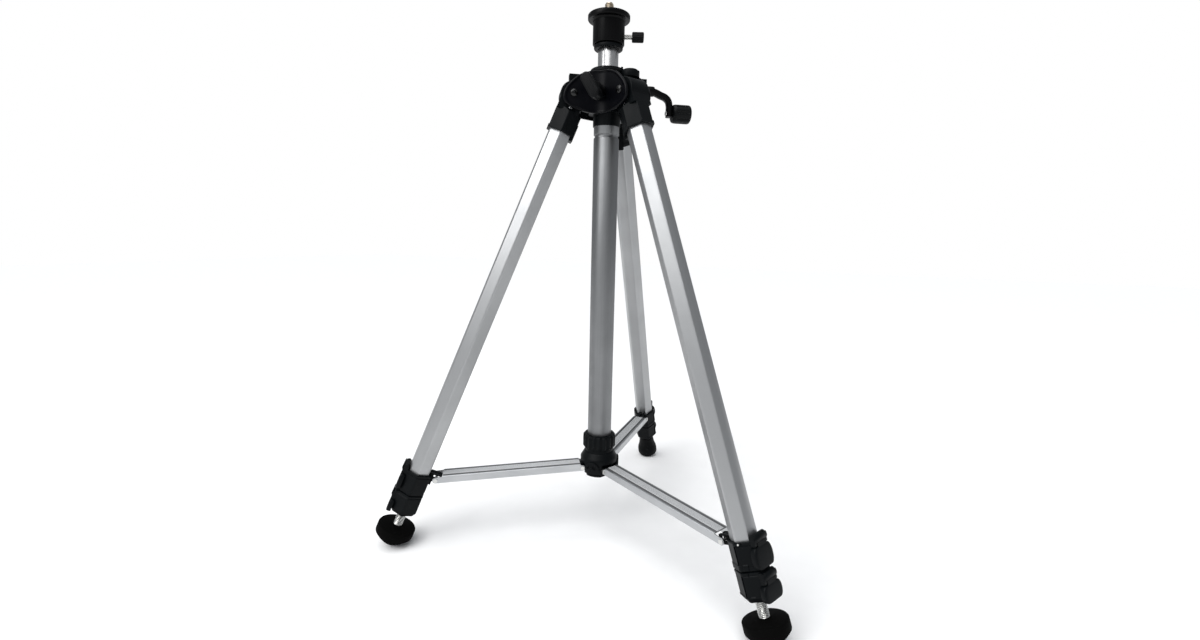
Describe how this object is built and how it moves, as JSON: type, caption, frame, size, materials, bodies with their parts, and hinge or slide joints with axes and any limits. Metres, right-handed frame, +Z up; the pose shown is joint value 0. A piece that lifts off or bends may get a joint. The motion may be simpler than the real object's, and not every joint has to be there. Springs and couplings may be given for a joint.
{
  "type": "laser level tripod",
  "caption": "Free-standing tripod for a laser level: telescopic hexagonal legs, sliding hub with braces, crank-raised centre column and a threaded mounting stud.",
  "frame": {"origin": "middle of the footprint of the standing tripod, on the floor", "axes": "+Z up along the centre column; the back leg points along +Y, the other two to +X-Y and -X-Y; the column axis is 57.4 mm to -Y of the origin"},
  "size_m": [0.4534, 0.3951, 0.6015],
  "materials": {
    "black_plastic": "fine-grained moulded",
    "gloss_cover": "polished",
    "knob_plastic": "satin moulded",
    "black_enamel": "satin black enamel",
    "steel": "bright zinc plated",
    "vial": "clear dome over dark well",
    "nylon": "natural nylon",
    "sleeve_aluminium": "matt silver anodised",
    "column_aluminium": "bright drawn",
    "leg_aluminium": "satin silver anodised",
    "brace_aluminium": "satin extruded",
    "brass_stud": "turned",
    "pad_rubber": "dull",
    "foot_rubber": "dull"
  },
  "bodies": {
    "crown": {"crown_body": "black_plastic", "cover_front": "gloss_cover", "cover_crank_side": "gloss_cover", "cover_rear": "gloss_cover", "leg_pivot_bolts": "steel", "bubble_level": "vial", "column_bushing": "nylon", "centre_sleeve": "sleeve_aluminium"},
    "lock_knob": {"lock_knob": "knob_plastic"},
    "column": {"centre_column": "column_aluminium", "column_rack": "nylon", "column_collar": "black_plastic"},
    "head": {"head_body": "black_enamel", "platform_pad": "pad_rubber", "mounting_stud": "brass_stud"},
    "head_screw": {"thumb_screw": "steel", "thumb_knob": "knob_plastic"},
    "crank": {"crank_shaft": "steel", "pinion_gear": "steel", "crank_arm": "knob_plastic", "crank_knob_pin": "steel"},
    "crank_grip": {"crank_knob": "knob_plastic"},
    "hub": {"hub_body": "black_plastic", "hub_collet": "nylon"},
    "hub_ring": {"hub_nut": "knob_plastic"},
    "back_leg": {"back_leg_socket": "black_plastic", "back_leg_upper_tube": "leg_aluminium", "back_leg_upper_clamp": "black_plastic"},
    "back_middle": {"back_leg_middle_tube": "leg_aluminium", "back_leg_lower_clamp": "black_plastic"},
    "back_lower": {"back_leg_lower_tube": "leg_aluminium", "back_foot": "foot_rubber"},
    "back_leg_upper_lever": {"back_leg_upper_lever": "knob_plastic"},
    "back_leg_lower_lever": {"back_leg_lower_lever": "knob_plastic"},
    "back_brace": {"back_brace": "brace_aluminium", "back_brace_rivets": "steel"},
    "right_leg": {"right_leg_socket": "black_plastic", "right_leg_upper_tube": "leg_aluminium", "right_leg_upper_clamp": "black_plastic"},
    "right_middle": {"right_leg_middle_tube": "leg_aluminium", "right_leg_lower_clamp": "black_plastic"},
    "right_lower": {"right_leg_lower_tube": "leg_aluminium"},
    "right_leg_upper_lever": {"right_leg_upper_lever": "knob_plastic"},
    "right_leg_lower_lever": {"right_leg_lower_lever": "knob_plastic"},
    "right_brace": {"right_brace": "brace_aluminium", "right_brace_rivets": "steel"},
    "right_foot_screw": {"right_foot_spindle": "steel"},
    "right_foot": {"right_foot_pad": "pad_rubber"},
    "left_leg": {"left_leg_socket": "black_plastic", "left_leg_upper_tube": "leg_aluminium", "left_leg_upper_clamp": "black_plastic"},
    "left_middle": {"left_leg_middle_tube": "leg_aluminium", "left_leg_lower_clamp": "black_plastic"},
    "left_lower": {"left_leg_lower_tube": "leg_aluminium"},
    "left_leg_upper_lever": {"left_leg_upper_lever": "knob_plastic"},
    "left_leg_lower_lever": {"left_leg_lower_lever": "knob_plastic"},
    "left_brace": {"left_brace": "brace_aluminium", "left_brace_rivets": "steel"},
    "left_foot_screw": {"left_foot_spindle": "steel"},
    "left_foot": {"left_foot_pad": "pad_rubber"}
  },
  "joints": [
    {"name": "column_slide", "type": "slide", "parent": "crown", "child": "column", "axis": [0, 0, 1], "range_m": [0, 0.28]},
    {"name": "crank_turn", "type": "hinge", "parent": "crown", "child": "crank", "pos_m": [-0.00775, -0.04398, 0.52], "axis": [-0.866, -0.5, 0], "range_deg": [0, 2680]},
    {"name": "crank_knob_spin", "type": "hinge", "parent": "crank", "child": "crank_grip", "pos_m": [0.06586, -0.00148, 0.4975], "axis": [0.866, 0.5, 0], "continuous": true},
    {"name": "lock_knob_turn", "type": "hinge", "parent": "crown", "child": "lock_knob", "pos_m": [0, -0.0874, 0.506], "axis": [0, -1, 0], "range_deg": [0, 270]},
    {"name": "head_swivel", "type": "hinge", "parent": "column", "child": "head", "pos_m": [0, -0.0574, 0.57], "axis": [0, 0, 1], "continuous": true},
    {"name": "head_screw_turn", "type": "hinge", "parent": "head", "child": "head_screw", "pos_m": [0.02355, -0.04901, 0.568], "axis": [0.9421, 0.3355, 0], "range_deg": [0, 720]},
    {"name": "hub_slide", "type": "slide", "parent": "crown", "child": "hub", "axis": [0, 0, 1], "range_m": [0, 0.06]},
    {"name": "hub_nut_turn", "type": "hinge", "parent": "hub", "child": "hub_ring", "pos_m": [0, -0.0574, 0.115], "axis": [0, 0, 1], "range_deg": [0, 180]},
    {"name": "back_leg_fold", "type": "hinge", "parent": "crown", "child": "back_leg", "pos_m": [0, -0.01894, 0.50478], "axis": [-1, 0, 0], "range_deg": [0, 1.6]},
    {"name": "back_middle_slide", "type": "slide", "parent": "back_leg", "child": "back_middle", "axis": [0, 0.3825, -0.9239], "range_m": [0, 0.34]},
    {"name": "back_lower_slide", "type": "slide", "parent": "back_middle", "child": "back_lower", "axis": [0, 0.3825, -0.9239], "range_m": [0, 0.34]},
    {"name": "back_upper_lever_flip", "type": "hinge", "parent": "back_leg", "child": "back_leg_upper_lever", "pos_m": [0, 0.16375, 0.09565], "axis": [1, 0, 0], "range_deg": [0, 95]},
    {"name": "back_lower_lever_flip", "type": "hinge", "parent": "back_middle", "child": "back_leg_lower_lever", "pos_m": [0, 0.17619, 0.06562], "axis": [1, 0, 0], "range_deg": [0, 95]},
    {"name": "back_brace_hinge", "type": "hinge", "parent": "hub", "child": "back_brace", "pos_m": [0, -0.0364, 0.084], "axis": [-1, 0, 0], "range_deg": [0, 22.14]},
    {"name": "right_leg_fold", "type": "hinge", "parent": "crown", "child": "right_leg", "pos_m": [0.0333, -0.07663, 0.50478], "axis": [0.5, 0.866, 0], "range_deg": [0, 1.6]},
    {"name": "right_middle_slide", "type": "slide", "parent": "right_leg", "child": "right_middle", "axis": [0.3313, -0.1913, -0.9239], "range_m": [0, 0.34]},
    {"name": "right_lower_slide", "type": "slide", "parent": "right_middle", "child": "right_lower", "axis": [0.3313, -0.1913, -0.9239], "range_m": [0, 0.34]},
    {"name": "right_upper_lever_flip", "type": "hinge", "parent": "right_leg", "child": "right_leg_upper_lever", "pos_m": [0.19152, -0.16798, 0.09565], "axis": [-0.5, -0.866, 0], "range_deg": [0, 95]},
    {"name": "right_lower_lever_flip", "type": "hinge", "parent": "right_middle", "child": "right_leg_lower_lever", "pos_m": [0.20229, -0.17419, 0.06562], "axis": [-0.5, -0.866, 0], "range_deg": [0, 95]},
    {"name": "right_brace_hinge", "type": "hinge", "parent": "hub", "child": "right_brace", "pos_m": [0.01819, -0.0679, 0.084], "axis": [0.5, 0.866, 0], "range_deg": [0, 22.14]},
    {"name": "right_foot_screw_travel", "type": "slide", "parent": "right_lower", "child": "right_foot_screw", "axis": [0.3313, -0.1913, -0.9239], "range_m": [-0.009, 0.012]},
    {"name": "right_foot_turn", "type": "hinge", "parent": "right_foot_screw", "child": "right_foot", "pos_m": [0.2047, -0.17559, 0.01916], "axis": [0.3313, -0.1913, -0.9239], "range_deg": [-2160, 2880]},
    {"name": "left_leg_fold", "type": "hinge", "parent": "crown", "child": "left_leg", "pos_m": [-0.0333, -0.07663, 0.50478], "axis": [0.5, -0.866, 0], "range_deg": [0, 1.6]},
    {"name": "left_middle_slide", "type": "slide", "parent": "left_leg", "child": "left_middle", "axis": [-0.3313, -0.1913, -0.9239], "range_m": [0, 0.34]},
    {"name": "left_lower_slide", "type": "slide", "parent": "left_middle", "child": "left_lower", "axis": [-0.3313, -0.1913, -0.9239], "range_m": [0, 0.34]},
    {"name": "left_upper_lever_flip", "type": "hinge", "parent": "left_leg", "child": "left_leg_upper_lever", "pos_m": [-0.19152, -0.16798, 0.09565], "axis": [-0.5, 0.866, 0], "range_deg": [0, 95]},
    {"name": "left_lower_lever_flip", "type": "hinge", "parent": "left_middle", "child": "left_leg_lower_lever", "pos_m": [-0.20229, -0.17419, 0.06562], "axis": [-0.5, 0.866, 0], "range_deg": [0, 95]},
    {"name": "left_brace_hinge", "type": "hinge", "parent": "hub", "child": "left_brace", "pos_m": [-0.01819, -0.0679, 0.084], "axis": [0.5, -0.866, 0], "range_deg": [0, 22.14]},
    {"name": "left_foot_screw_travel", "type": "slide", "parent": "left_lower", "child": "left_foot_screw", "axis": [-0.3313, -0.1913, -0.9239], "range_m": [-0.009, 0.012]},
    {"name": "left_foot_turn", "type": "hinge", "parent": "left_foot_screw", "child": "left_foot", "pos_m": [-0.2047, -0.17559, 0.01916], "axis": [-0.3313, -0.1913, -0.9239], "range_deg": [-2160, 2880]}
  ],
  "couplings": [
    {"joint": "crank_turn", "follows": "column_slide", "rad_per_m": 166.67},
    {"joint": "back_leg_fold", "follows": "hub_slide", "rad_per_m": 0.462},
    {"joint": "back_brace_hinge", "follows": "hub_slide", "rad_per_m": 6.437},
    {"joint": "right_leg_fold", "follows": "hub_slide", "rad_per_m": 0.462},
    {"joint": "right_brace_hinge", "follows": "hub_slide", "rad_per_m": 6.437},
    {"joint": "right_foot_screw_travel", "follows": "right_foot_turn", "m_per_rad": 0.00023873},
    {"joint": "left_leg_fold", "follows": "hub_slide", "rad_per_m": 0.462},
    {"joint": "left_brace_hinge", "follows": "hub_slide", "rad_per_m": 6.437},
    {"joint": "left_foot_screw_travel", "follows": "left_foot_turn", "m_per_rad": 0.00023873}
  ]
}
